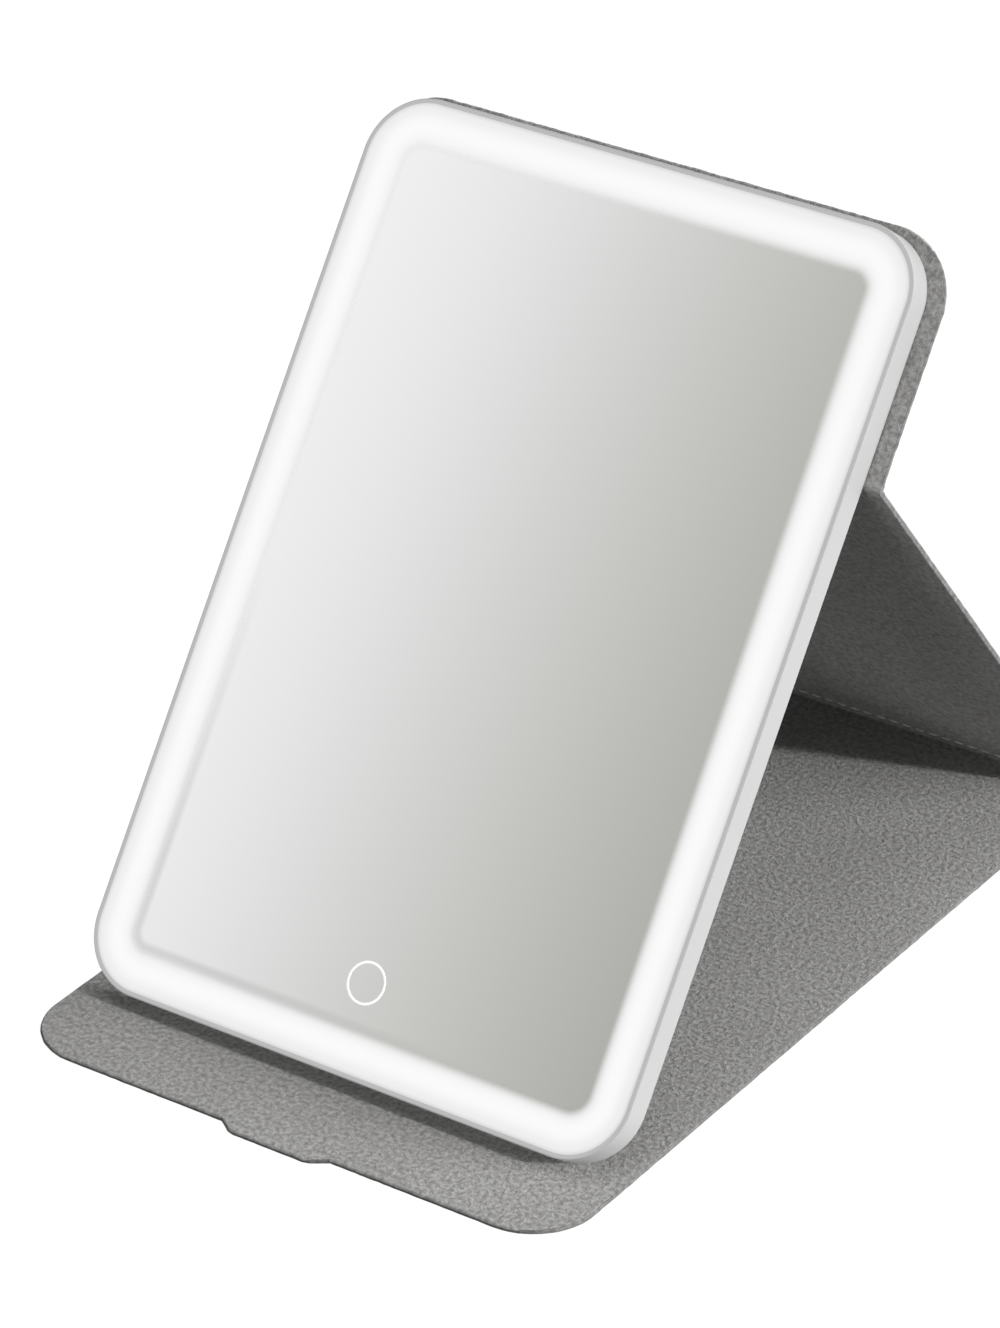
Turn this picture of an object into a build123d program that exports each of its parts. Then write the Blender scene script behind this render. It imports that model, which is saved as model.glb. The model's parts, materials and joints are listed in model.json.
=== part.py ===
from build123d import *
import math
import os

# Lighted makeup mirror: a thin lit mirror tablet carried by a fabric folio that folds into a stand.
# Millimetres. X runs across the mirror, Y runs from the viewer to the back, Z is up.
# The origin is on the table, in the middle of the rectangle that the whole object covers.

# Mirror tablet, outside
mirror_width = 145.0
mirror_height = 215.0
mirror_thickness = 7.4
corner_radius = 15.5
frame_wall = 1.5
rim_round = 1.4
back_round = 0.5

# Mirror tablet, face
band_width = 9.8
glass_thickness = 1.8
glass_bevel = 0.5
glass_gap = 0.1
diffuser_thickness = 1.7
touch_ring_diameter = 10.2
touch_ring_line = 0.6
touch_ring_depth = 0.15
touch_ring_height = 21.5

# Mirror tablet, inside
rear_plate = 1.2
fit_gap = 0.1
ledge_width = 1.2
ledge_thickness = 0.5
channel_floor = 0.8
channel_outer_wall = 0.8
diffuser_seat = 0.6
glass_seat = 1.4
glass_tape_thickness = 0.2
led_board_width = 6.0
led_board_thickness = 0.8
led_pitch = 11.0
led_length = 3.5
led_width = 2.8
led_height = 0.7

# Screws that hold the rear cover
screw_boss_diameter = 4.4
screw_boss_lap = 0.2
screw_hole_diameter = 1.6
screw_shank_diameter = 1.5
screw_head_diameter = 3.0
screw_head_height = 0.8
screw_length = 4.2
screw_point_gap = 0.3

# Battery
battery_width = 70.0
battery_length = 100.0
battery_thickness = 3.8
battery_corner = 2.0
battery_height = 122.0
battery_tape_thickness = 0.2
battery_tape_margin = 12.0

# Control board and what stands on it
board_width = 76.0
board_length = 22.0
board_thickness = 0.8
board_bottom = 18.0
post_height = 0.8
post_diameter = 3.0
post_inset = 2.5
spring_diameter = 5.0
spring_wire = 0.4
spring_turns = 4.0
spring_clearance = 0.02
controller_size = (5.0, 5.0, 0.9)
controller_place = (-20.0, 0.0)
charger_size = (3.0, 3.0, 0.8)
charger_place = (-12.0, -4.0)
coil_size = (4.0, 4.0, 1.8)
coil_place = (12.0, 2.0)
capacitor_size = (1.6, 0.8, 0.8)
capacitor_places = ((18.0, 3.0), (21.0, 3.0))
plug_depth = 3.0
plug_height = 1.8
plug_side_wall = 0.5

# Charging port in the left wall
port_height = 33.0
port_board_thickness = 0.6
port_board_length = 20.0
port_board_depth = 9.0
socket_width = 8.94
socket_height = 3.26
socket_depth = 7.35
socket_wall = 0.3
socket_recess = 0.4
tongue_width = 6.6
tongue_thickness = 0.7
tongue_setback = 0.8
port_clearance = 0.1
light_pipe_diameter = 1.4
light_pipe_length = 3.5
light_pipe_offset = 7.5

# Leads
lead_diameter = 0.9
lead_pitch = 1.6
lead_bend = 2.5
lead_lap = 1.0
battery_lead_start = 8.0
battery_plug_place = -8.0
led_plug_place = 26.0
port_lead_rise = 7.0

# Magnets and steel keepers
magnet_places = (-47.0, -16.0, 16.0, 47.0)
mirror_magnet_length = 14.0
mirror_magnet_width = 3.4
mirror_magnet_height = 2.4
disc_magnet_diameter = 8.0
disc_magnet_height = 0.7
closure_spread = 12.0
closure_inset = 16.0
keeper_length = 16.0
keeper_width = 5.0
keeper_height = 0.6

# Folio panels
board_core = 0.9
fabric_thickness = 0.2
fabric_round = 0.4
fabric_top_round = 0.12
fold_gap = 0.3
base_width = 147.0
base_front = 28.4
base_corner = 16.0
tab_reach = 3.0
tab_root_width = 29.4
tab_tip_width = 21.0
tab_corner = 1.5
spine_width = 9.5
upper_width = 153.0
upper_overhang = 1.7
upper_corner = 17.0
strut_length = 168.5
back_tape_thickness = 0.3
back_tape_margin = 8.0
back_tape_width = 120.0

# Stitch row on the strut, beside the foot fold
stitch_length = 2.6
stitch_pitch = 3.7
stitch_thickness = 0.4
stitch_from_fold = 4.0
stitch_end_margin = 4.0

# How the stand is set up
mirror_tilt = 54.4
crease_height = 160.2
bottom_clearance = 0.3

# Edges nearer than this to a fold belong to the fold
close_by = 0.001

# Heights inside the tablet, measured from its back
panel_thickness = board_core + 2 * fabric_thickness
diffuser_back = mirror_thickness - diffuser_thickness
glass_back = mirror_thickness - glass_thickness
ledge_back = diffuser_back - ledge_thickness
channel_top = rear_plate + channel_floor
inner_wall_top = glass_back - glass_tape_thickness
board_back = rear_plate + post_height
board_front = board_back + board_thickness
port_axis_height = rear_plate + port_board_thickness + socket_height / 2

# Distances in from the tablet's outer edge
band_inner = frame_wall + band_width
glass_edge = band_inner + glass_gap
channel_outer = frame_wall + 2 * fit_gap
channel_inner_face = band_inner - diffuser_seat
channel_inner = glass_edge + fit_gap + glass_seat
led_line = (channel_outer + channel_outer_wall + channel_inner_face) / 2
boss_line = channel_inner + screw_boss_diameter / 2 - screw_boss_lap

# Where the folds lie when the mirror stands, before the origin is moved to the middle
tilt = math.radians(mirror_tilt)
edge_drop = back_round * (1 - math.sin(tilt) - math.cos(tilt))
corner_z = panel_thickness + bottom_clearance + edge_drop
back_offset = back_tape_thickness + panel_thickness
crease_y = crease_height * math.cos(tilt) + back_offset * math.sin(tilt)
crease_z = corner_z + crease_height * math.sin(tilt) - back_offset * math.cos(tilt)
fold_span = math.hypot(strut_length, panel_thickness)
fold_rise = crease_z - panel_thickness
foot_y = crease_y + math.sqrt(fold_span ** 2 - fold_rise ** 2)
strut_slope = math.degrees(math.asin(fold_rise / fold_span) - math.atan2(panel_thickness, strut_length))
spine_y = foot_y - spine_width
base_length = spine_y + base_front

# The outermost points in depth, and the shift that centres them
slope = math.radians(strut_slope)
rear_y = foot_y + panel_thickness * math.sin(slope) - fold_gap * math.cos(slope)
front_y = -base_front - tab_reach
shift_y = -(rear_y + front_y) / 2

# Each moving group has its own frame, with its inner face towards local +Z
MIRROR = Pos(0, shift_y, corner_z) * Rot(mirror_tilt, 0, 0)
UPPER = MIRROR * Pos(0, crease_height, -back_offset)
STRUT = Pos(0, shift_y + foot_y, panel_thickness) * Rot(180 - strut_slope, 0, 0) * Pos(0, 0, -panel_thickness)
SPINE = Pos(0, shift_y + spine_y, 0)
BASE = Pos(0, shift_y + spine_y, 0) * Rot(0, 0, 180)

# The length of the upper panel, from the crease to its top edge
upper_length = mirror_height + upper_overhang - crease_height


def block(x, y, z, width, length, height):
    """A box centred on x and y that starts at height z."""
    return Pos(x, y, z + height / 2) * Box(width, length, height)


def rod(x, y, z, diameter, height):
    """An upright cylinder that starts at height z."""
    return Pos(x, y, z + height / 2) * Cylinder(diameter / 2, height)


def slab(inset, low, high):
    """The tablet's rounded outline, drawn in by inset, between two heights."""
    face = RectangleRounded(mirror_width - 2 * inset, mirror_height - 2 * inset, corner_radius - inset)
    return Pos(0, mirror_height / 2, low) * extrude(face, high - low)


def ring(outer, inner, low, high):
    """A frame that follows the tablet's outline between two insets."""
    return slab(outer, low, high) - slab(inner, low, high)


def group(solids):
    """Several separate solids of one kind in one node."""
    return Compound(list(solids))


def wall_notch(depth, low, high):
    """The room in the left edge for the charging port, its board and its light pipe."""
    low_y = port_height - port_board_length / 2 - fit_gap
    high_y = port_height + port_board_length / 2 + fit_gap
    start = -mirror_width / 2 + frame_wall
    return block(start + depth / 2, (low_y + high_y) / 2, low, depth, high_y - low_y, high - low)


def socket_outline(grow):
    """The port's rounded section in the left wall, on a plane that faces outwards."""
    face = SlotOverall(socket_width + 2 * grow, socket_height + 2 * grow)
    start = -mirror_width / 2 + socket_recess
    return Pos(start, port_height, port_axis_height) * Rot(0, 90, 0) * Rot(0, 0, 90) * face


def bezel_frame():
    body = slab(0, 0, mirror_thickness)
    body = fillet(body.faces().sort_by(Axis.Z)[-1].edges(), rim_round)
    body = fillet(body.faces().sort_by(Axis.Z)[0].edges(), back_round)
    body -= slab(frame_wall, 0, mirror_thickness)
    body += ring(frame_wall - fit_gap, frame_wall + ledge_width, ledge_back, diffuser_back)
    through = frame_wall + ledge_width
    hole = extrude(socket_outline(port_clearance), through, both=True)
    pipe = Pos(-mirror_width / 2, port_height + light_pipe_offset, port_axis_height) * Rot(0, 90, 0)
    return body - hole - pipe * Cylinder(light_pipe_diameter / 2 + fit_gap, 2 * through)


def screw_places():
    """Where the rear cover is screwed to the reflector frame."""
    side = mirror_width / 2 - boss_line
    heights = (boss_line, mirror_height / 2, mirror_height - boss_line)
    return [(x, y) for x in (-side, side) for y in heights]


def screw(x, y, grow=0.0, length=screw_length):
    """A countersunk screw, or with grow the hole that it fits."""
    head_radius = screw_head_diameter / 2 + grow
    shank_radius = screw_shank_diameter / 2 + grow
    head = Pos(x, y, screw_head_height / 2) * Cone(head_radius, shank_radius, screw_head_height)
    return head + rod(x, y, 0, 2 * shank_radius, length)


def rear_cover():
    body = slab(frame_wall + fit_gap, 0, rear_plate)
    for x, y in screw_places():
        body -= screw(x, y, (screw_hole_diameter - screw_shank_diameter) / 2, rear_plate)
    low_y = board_bottom + post_inset
    high_y = board_bottom + board_length - post_inset
    for x in (-board_width / 2 + post_inset, board_width / 2 - post_inset):
        for y in (low_y, high_y):
            body += rod(x, y, rear_plate - fit_gap, post_diameter, post_height + fit_gap)
    return body


def reflector_frame():
    body = ring(channel_outer, channel_inner, rear_plate, channel_top)
    body += ring(channel_outer, channel_outer + channel_outer_wall, rear_plate, ledge_back)
    body += ring(channel_inner_face, channel_inner, rear_plate, inner_wall_top)
    body += ring(channel_inner_face, band_inner, inner_wall_top - fit_gap, diffuser_back)
    for x, y in screw_places():
        body += rod(x, y, rear_plate, screw_boss_diameter, inner_wall_top - rear_plate)
    for x, y in screw_places():
        body -= rod(x, y, rear_plate, screw_hole_diameter, screw_length + screw_point_gap - rear_plate)
    body -= wall_notch(port_board_depth + fit_gap, rear_plate, inner_wall_top)
    middle = (channel_inner_face + channel_inner) / 2
    through = channel_inner - channel_inner_face + 2 * fit_gap
    width = lead_pitch + 2 * lead_diameter
    body -= block(-mirror_width / 2 + middle, port_height, rear_plate, through, width, 2 * lead_diameter)
    body -= block(led_plug_place, middle, channel_top, width, through, 2 * lead_diameter)
    return body


def led_board():
    half = led_board_width / 2
    body = ring(led_line - half, led_line + half, channel_top, channel_top + led_board_thickness)
    return body - wall_notch(port_board_depth + 2 * fit_gap, channel_top, ledge_back)


def led_places():
    """The middle of each light, and whether it lies along Y, leaving the port's notch free."""
    x_run = mirror_width - 2 * corner_radius
    y_run = mirror_height - 2 * corner_radius
    x_count = int(x_run / led_pitch) + 1
    y_count = int(y_run / led_pitch) + 1
    places = []
    for i in range(x_count):
        x = -x_run / 2 + i * x_run / (x_count - 1)
        places += [(x, led_line, False), (x, mirror_height - led_line, False)]
    for i in range(y_count):
        y = corner_radius + i * y_run / (y_count - 1)
        places += [(mirror_width / 2 - led_line, y, True)]
        if abs(y - port_height) > port_board_length / 2 + led_length:
            places += [(-mirror_width / 2 + led_line, y, True)]
    return places


def led_chips():
    base = channel_top + led_board_thickness
    chips = []
    for x, y, upright in led_places():
        width, length = (led_width, led_length) if upright else (led_length, led_width)
        chips.append(block(x, y, base, width, length, led_height))
    return group(chips)


def diffuser_ring():
    return ring(frame_wall + fit_gap / 2, band_inner, diffuser_back, mirror_thickness)


def touch_inlay(low, high):
    """The ring mark near the bottom of the glass."""
    outer = rod(0, touch_ring_height, low, touch_ring_diameter, high - low)
    return outer - rod(0, touch_ring_height, low, touch_ring_diameter - 2 * touch_ring_line, high - low)


def mirror_glass():
    body = slab(glass_edge, glass_back, mirror_thickness)
    body = chamfer(body.faces().sort_by(Axis.Z)[-1].edges(), glass_bevel)
    return body - touch_inlay(mirror_thickness - touch_ring_depth, mirror_thickness)


def touch_ring():
    return touch_inlay(mirror_thickness - touch_ring_depth, mirror_thickness)


def glass_tape():
    return ring(glass_edge + fit_gap, channel_inner, inner_wall_top, glass_back)


def control_board():
    return block(0, board_bottom + board_length / 2, board_back, board_width, board_length, board_thickness)


def plug(x, y, along_x):
    """The connector at the control board's end of a pair of leads."""
    width = 2 * lead_pitch + 2 * plug_side_wall
    sizes = (plug_depth, width) if along_x else (width, plug_depth)
    return block(x, y, board_front, *sizes, plug_height)


def board_parts():
    """The controller, the charging chip, the coil, the capacitors and the lead connectors."""
    middle = board_bottom + board_length / 2
    chips = [(controller_size, controller_place), (charger_size, charger_place), (coil_size, coil_place)]
    chips += [(capacitor_size, place) for place in capacitor_places]
    solids = [block(x, middle + y, board_front, *size) for size, (x, y) in chips]
    solids.append(plug(battery_plug_place, board_bottom + board_length - plug_depth / 2, False))
    solids.append(plug(led_plug_place, board_bottom + plug_depth / 2, False))
    solids.append(plug(-board_width / 2 + plug_depth / 2, port_height, True))
    return group(solids)


def touch_spring():
    """The coil that carries the touch signal from the control board to the back of the glass."""
    height = glass_back - board_front - spring_wire - 2 * spring_clearance
    start = board_front + spring_wire / 2 + spring_clearance
    path = Helix(height / spring_turns, height, (spring_diameter - spring_wire) / 2)
    section = Plane(path @ 0, z_dir=path % 0) * Circle(spring_wire / 2)
    return Pos(0, touch_ring_height, start) * sweep(section, path, is_frenet=True)


def port_board():
    start = -mirror_width / 2 + frame_wall + fit_gap
    depth = port_board_depth - 2 * fit_gap
    length = port_board_length - 2 * fit_gap
    return block(start + depth / 2, port_height, rear_plate, depth, length, port_board_thickness)


def usb_c_socket():
    shell = extrude(socket_outline(0), socket_depth)
    inside = extrude(socket_outline(-socket_wall), socket_depth - socket_wall)
    start = -mirror_width / 2 + socket_recess + tongue_setback
    length = socket_depth - tongue_setback
    tongue = block(start + length / 2, port_height, port_axis_height - tongue_thickness / 2,
                   length, tongue_width, tongue_thickness)
    return shell - inside + tongue


def charge_light_pipe():
    place = Pos(-mirror_width / 2 + light_pipe_length / 2, port_height + light_pipe_offset, port_axis_height)
    return place * Rot(0, 90, 0) * Cylinder(light_pipe_diameter / 2, light_pipe_length)


def battery_cell():
    low = rear_plate + battery_tape_thickness
    body = block(0, battery_height, low, battery_width, battery_length, battery_thickness)
    return fillet(body.edges().filter_by(Axis.Z), battery_corner)


def battery_tape():
    width = battery_width - 2 * battery_tape_margin
    length = battery_length - 2 * battery_tape_margin
    return block(0, battery_height, rear_plate, width, length, battery_tape_thickness)


def lead_pair(points):
    """Two round leads side by side along a route; dx and dy spread them at each point."""
    leads = []
    for offset in (-lead_pitch / 2, lead_pitch / 2):
        route = [(x + offset * dx, y + offset * dy, z) for x, y, z, dx, dy in points]
        path = FilletPolyline(*route, radius=lead_bend) if len(route) > 2 else Line(*route)
        section = Plane(path @ 0, z_dir=path % 0) * Circle(lead_diameter / 2)
        leads.append(sweep(section, path))
    return group(leads)


def battery_leads():
    z = board_front + plug_height / 2
    cell_end = battery_height - battery_length / 2
    board_end = board_bottom + board_length
    middle = (cell_end + board_end) / 2
    return lead_pair([(battery_lead_start, cell_end, z, 1, 0), (battery_lead_start, middle, z, 1, 1),
                      (battery_plug_place, middle, z, 1, 1), (battery_plug_place, board_end, z, 1, 0)])


def led_leads():
    z = channel_top + led_board_thickness + lead_diameter / 2
    end = led_line + led_board_width / 2 - lead_lap
    return lead_pair([(led_plug_place, board_bottom, z, 1, 0), (led_plug_place, end, z, 1, 0)])


def port_leads():
    low = rear_plate + port_board_thickness + lead_diameter / 2
    high = board_front + lead_diameter / 2
    start = -mirror_width / 2 + frame_wall + port_board_depth - fit_gap - lead_lap
    rise = -mirror_width / 2 + channel_inner + lead_diameter
    return lead_pair([(start, port_height, low, 0, 1), (rise, port_height, low, 0, 1),
                      (rise + port_lead_rise, port_height, high, 0, 1),
                      (-board_width / 2, port_height, high, 0, 1)])


def housing_screws():
    return group(screw(x, y) for x, y in screw_places())


def magnet_height_on_tablet():
    """How far up the tablet its bottom magnets lie."""
    return channel_inner + mirror_magnet_width / 2 + 2 * fit_gap


def mirror_magnets():
    y = magnet_height_on_tablet()
    return group(block(x, y, rear_plate, mirror_magnet_length, mirror_magnet_width, mirror_magnet_height)
                 for x in magnet_places)


def keeper_plates():
    """Steel plates behind the glass that the cover's closing magnets hold."""
    y = base_length - closure_inset - (strut_length - crease_height)
    return group(block(x, y, glass_back - keeper_height, keeper_length, keeper_width, keeper_height)
                 for x in (-closure_spread, closure_spread))


def back_tape():
    length = mirror_height - crease_height - 2 * back_tape_margin
    middle = (mirror_height + crease_height) / 2
    return block(0, middle, -back_tape_thickness, back_tape_width, length, back_tape_thickness)


def panel_face(fold_width, free_width, length, corner, inset, start, tab=False):
    """A panel's outline from its fold to its free edge, drawn in by inset on its free sides."""
    fold_half = fold_width / 2 - inset
    free_half = free_width / 2 - inset
    end = length - inset
    face = make_face(Polyline((-fold_half, start), (fold_half, start), (free_half, end), (-free_half, end),
                              close=True))
    if corner > inset:
        face = fillet(face.vertices().sort_by(Axis.Y)[-2:], corner - inset)
    if tab:
        root = tab_root_width / 2 - inset
        tip = tab_tip_width / 2 - inset
        reach = end + tab_reach
        face += make_face(Polyline((-root, end - tab_corner), (root, end - tab_corner), (root, end),
                                   (tip, reach), (-tip, reach), (-root, end), close=True))
        face = fillet(face.vertices().sort_by(Axis.Y)[-2:], tab_corner)
    return face


def panel(fold_width, free_width, length, corner, both_folds=False, tab=False):
    """The outer skin, the board and the inner lining of one panel, as (skin, board, lining)."""
    end = length - fold_gap if both_folds else length
    size = (fold_width, free_width, end, corner)
    outer = extrude(panel_face(*size, 0, fold_gap, tab), panel_thickness)
    faces = outer.faces().sort_by(Axis.Z)
    rims = [(faces[0], fabric_round), (faces[-1], fabric_top_round)]
    for face, radius in rims:
        high_y = end if both_folds else math.inf
        free = [edge for edge in face.edges() if fold_gap + close_by < edge.center().Y < high_y - close_by]
        outer = fillet(free, radius)
    inner = panel_face(*size, fabric_thickness, fold_gap, tab)
    if both_folds:
        inner = panel_face(fold_width, free_width, end + fabric_thickness, corner, fabric_thickness, fold_gap)
    core = Pos(0, 0, fabric_thickness) * extrude(inner, board_core)
    lining = Pos(0, 0, fabric_thickness + board_core) * extrude(inner, fabric_thickness)
    return outer - core - lining, core, lining


def discs(x_places, y):
    """Round magnets let into the inner face of a board."""
    low = fabric_thickness + board_core - disc_magnet_height
    return [rod(x, y, low, disc_magnet_diameter, disc_magnet_height) for x in x_places]


def strut_keeper_blocks():
    """Steel plates in the strut, over the tablet's bottom magnets when the stand is folded flat."""
    y = strut_length - crease_height + magnet_height_on_tablet()
    low = fabric_thickness + board_core - keeper_height
    return [block(x, y, low, keeper_length, keeper_width, keeper_height) for x in magnet_places]


def stitches():
    """One row of stitches across the strut's lining."""
    half = base_width / 2 - stitch_end_margin
    count = int(2 * half / stitch_pitch) + 1
    start = -(count - 1) * stitch_pitch / 2
    y = fold_gap + stitch_from_fold
    return group(block(start + i * stitch_pitch, y, panel_thickness,
                       stitch_length, stitch_thickness, stitch_thickness) for i in range(count))


def without(body, cutters):
    """The body with a pocket for each cutter."""
    for cutter in cutters:
        body -= cutter
    return body


def save(place, nodes):
    """Puts each node in its group's place and writes it."""
    for name, shape in nodes.items():
        export_step(place * shape, f"parts/{name}.step")


os.makedirs("parts", exist_ok=True)

save(MIRROR, {
    "bezel_frame": bezel_frame(),
    "rear_cover": rear_cover(),
    "reflector_frame": reflector_frame(),
    "led_board": led_board(),
    "led_chips": led_chips(),
    "diffuser_ring": diffuser_ring(),
    "mirror_glass": mirror_glass(),
    "touch_ring": touch_ring(),
    "glass_tape": glass_tape(),
    "control_board": control_board(),
    "board_parts": board_parts(),
    "touch_spring": touch_spring(),
    "port_board": port_board(),
    "usb_c_socket": usb_c_socket(),
    "charge_light_pipe": charge_light_pipe(),
    "battery_cell": battery_cell(),
    "battery_tape": battery_tape(),
    "battery_leads": battery_leads(),
    "led_leads": led_leads(),
    "port_leads": port_leads(),
    "housing_screws": housing_screws(),
    "mirror_magnets": mirror_magnets(),
    "keeper_plates": keeper_plates(),
    "back_tape": back_tape(),
})

skin, board, lining = panel(upper_width, upper_width, upper_length, upper_corner)
save(UPPER, {"upper_skin": skin, "upper_board": board, "upper_lining": lining})

skin, board, lining = panel(base_width, upper_width, strut_length, 0, both_folds=True)
keepers = strut_keeper_blocks()
save(STRUT, {
    "strut_skin": skin,
    "strut_board": without(board, keepers),
    "strut_lining": lining,
    "strut_keepers": group(keepers),
    "strut_stitches": stitches(),
})

skin, board, lining = panel(base_width, base_width, spine_width, 0, both_folds=True)
save(SPINE, {"spine_skin": skin, "spine_board": board, "spine_lining": lining})

skin, board, lining = panel(base_width, base_width, base_length, base_corner, tab=True)
edge_magnets = discs(magnet_places, spine_y)
front_magnets = discs((-closure_spread, closure_spread), base_length - closure_inset)
save(BASE, {
    "base_skin": skin,
    "base_board": without(board, edge_magnets + front_magnets),
    "base_lining": lining,
    "base_magnets": group(edge_magnets),
    "closure_magnets": group(front_magnets),
})

print("strut slope", round(strut_slope, 4), "strut fold to flat", round(strut_slope - 180, 4))
print("crease fold to flat", round(180 - strut_slope - mirror_tilt, 4))
print("crease axis y, z", round(shift_y + crease_y, 4), round(crease_z, 4))
print("foot axis y, z", round(shift_y + foot_y, 4), round(panel_thickness, 4))
print("spine axis y, z", round(shift_y + spine_y, 4), 0)
print("depth", round(rear_y - front_y, 3), "base length", round(base_length, 3), "shift", round(shift_y, 4))
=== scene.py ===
# %% [markdown]
# # A lighted makeup mirror on a folding fabric cover
#
# The pieces inside the mirror come ready made, at their real size, and stay as they are. What is
# made here is what the eye meets: the moulded frame, the lit band, the silvered pane, the touch
# ring, the cloth of the cover with its folds and stitches, and the studio round it all. Everything
# is in metres, with X across the mirror, Y from the viewer to the back and Z up.

# %% Load the ready-made pieces
import bpy
import bmesh
import json
import math
from mathutils import Matrix, Vector


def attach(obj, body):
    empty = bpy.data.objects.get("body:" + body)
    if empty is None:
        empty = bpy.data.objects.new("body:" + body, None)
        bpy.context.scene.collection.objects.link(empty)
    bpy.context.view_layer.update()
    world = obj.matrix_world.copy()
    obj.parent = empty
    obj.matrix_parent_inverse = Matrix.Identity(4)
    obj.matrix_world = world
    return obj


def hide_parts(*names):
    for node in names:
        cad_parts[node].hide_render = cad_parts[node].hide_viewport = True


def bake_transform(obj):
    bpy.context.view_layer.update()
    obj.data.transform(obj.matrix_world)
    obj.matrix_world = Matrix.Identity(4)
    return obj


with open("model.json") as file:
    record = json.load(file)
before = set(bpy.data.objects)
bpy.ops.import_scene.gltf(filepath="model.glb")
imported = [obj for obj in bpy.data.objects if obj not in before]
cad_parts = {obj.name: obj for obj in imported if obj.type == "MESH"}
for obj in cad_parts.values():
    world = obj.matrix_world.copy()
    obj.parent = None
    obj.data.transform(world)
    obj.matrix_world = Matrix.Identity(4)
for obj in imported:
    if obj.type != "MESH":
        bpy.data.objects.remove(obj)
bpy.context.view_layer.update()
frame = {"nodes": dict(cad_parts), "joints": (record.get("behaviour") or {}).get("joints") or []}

# %% [markdown]
# ## Where things are
#
# The stand has three folds, and each fold is a straight line across the cover. Knowing where the
# folds are, and how far the mirror and the strut lean, is enough to place every new piece. Each
# piece is modelled flat at the origin, as on a workbench, and then moved to its place by one
# matrix.

# %% Places of the folds and of the mirror
millimetre = 0.001
mirror_tilt = math.radians(54.4)
panel_thickness = 1.3 * millimetre
crease_height = 160.2 * millimetre
tape_thickness = 0.3 * millimetre
back_offset = panel_thickness + tape_thickness
mirror_width, mirror_height, mirror_thickness = 0.145, 0.215, 0.0074

fold_places = {joint["name"]: Vector(joint["pos_m"]) for joint in frame["joints"]}
spine_fold, foot_fold, crease_fold = (
    fold_places[name] for name in ("spine_fold", "strut_fold", "crease_fold"))
strut_rise = crease_fold.z - foot_fold.z
strut_run = foot_fold.y - crease_fold.y
strut_length = math.sqrt(strut_rise ** 2 + strut_run ** 2 - panel_thickness ** 2)
strut_slope = math.atan2(strut_rise, strut_run) - math.atan2(panel_thickness, strut_length)


def leaning(place, angle):
    """The matrix that stands a flat piece up at an angle, about the X line through a place."""
    return Matrix.Translation(place) @ Matrix.Rotation(angle, 4, "X")


def moved(x, y, z):
    """The matrix of a plain move."""
    return Matrix.Translation((x, y, z))


UPPER = leaning(crease_fold, mirror_tilt)
TABLET = UPPER @ moved(0, -crease_height, back_offset)
STRUT = leaning(foot_fold, math.pi - strut_slope) @ moved(0, 0, -panel_thickness)
SPINE = leaning(spine_fold, 0)
BASE = SPINE @ Matrix.Rotation(math.pi, 4, "Z")
print("strut", round(strut_length / millimetre, 2), "mm long, leaning",
      round(math.degrees(strut_slope), 2), "degrees")

# %% [markdown]
# ## The camera
#
# The view is the photograph's: from the right and above, through a long lens that flattens the
# perspective. The long side of the picture is 36 mm of sensor. The small shift moves the picture
# without turning the camera.

# %% Camera
camera_place = Vector((0.6669, -1.00253, 0.7485))
camera_azimuth = math.radians(34.311)
camera_elevation = math.radians(29.419)
lens_length, sensor_long_side = 164.94, 36
lens_shift = (-0.00307, -0.00659)
nearest_seen, farthest_seen = 0.01, 200

camera_data = bpy.data.cameras.new("camera")
camera_data.lens = lens_length
camera_data.sensor_width = sensor_long_side
camera_data.shift_x, camera_data.shift_y = lens_shift
camera_data.clip_start, camera_data.clip_end = nearest_seen, farthest_seen
camera = bpy.data.objects.new("camera", camera_data)
bpy.context.scene.collection.objects.link(camera)
camera.location = camera_place
camera.rotation_euler = (math.pi / 2 - camera_elevation, 0, camera_azimuth)
bpy.context.scene.camera = camera
print("camera", round(camera_place.length, 3), "m away")

# %% [markdown]
# ## Tools for the workbench
#
# Blender's operators act on whatever is selected, so each step first says what that is. Edges and
# faces are picked by where they are, which keeps working when a size changes. The steps that come
# back with every piece get a short name, such as starting from a flat rectangle, pulling a part of
# the mesh out and setting the finished piece down in its place.

# %% Selecting
def deselect():
    """Selects nothing, so that the next operator leaves the other pieces alone."""
    bpy.ops.object.select_all(action="DESELECT")


def pick(piece):
    """Makes one object the selected and active one."""
    deselect()
    piece.select_set(True)
    bpy.context.view_layer.objects.active = piece


def choose(piece, kind, test):
    """In edit mode, selects only the verts, edges or faces whose test is true, and counts them."""
    bpy.ops.mesh.select_mode(type={"verts": "VERT", "edges": "EDGE", "faces": "FACE"}[kind])
    bpy.ops.mesh.select_all(action="DESELECT")
    mesh = bmesh.from_edit_mesh(piece.data)
    chosen = [part for part in getattr(mesh, kind) if test(part)]
    for part in chosen:
        part.select_set(True)
    mesh.select_flush_mode()
    bmesh.update_edit_mesh(piece.data)
    return len(chosen)


def choose_all():
    """In edit mode, selects the whole mesh."""
    bpy.ops.mesh.select_all(action="SELECT")


def middle_of(part):
    """The middle of an edge or a face."""
    return sum((vert.co for vert in part.verts), Vector()) / len(part.verts)


# %% Starting, shaping and setting down
def named(name):
    """The object that was just added, now with its name."""
    piece = bpy.context.object
    piece.name = piece.data.name = name
    return piece


def settle():
    """Puts the place, turn and scale of the selected object into its mesh."""
    bpy.ops.object.transform_apply(location=True, rotation=True, scale=True)


def start_plane(name, width, length, location, rotation=(0, 0, 0)):
    """A flat rectangle at its real size, open in edit mode."""
    deselect()
    bpy.ops.mesh.primitive_plane_add(size=1, location=location, rotation=rotation)
    piece = named(name)
    piece.scale = (width, length, 1)
    settle()
    bpy.ops.object.mode_set(mode="EDIT")
    return piece


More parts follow.
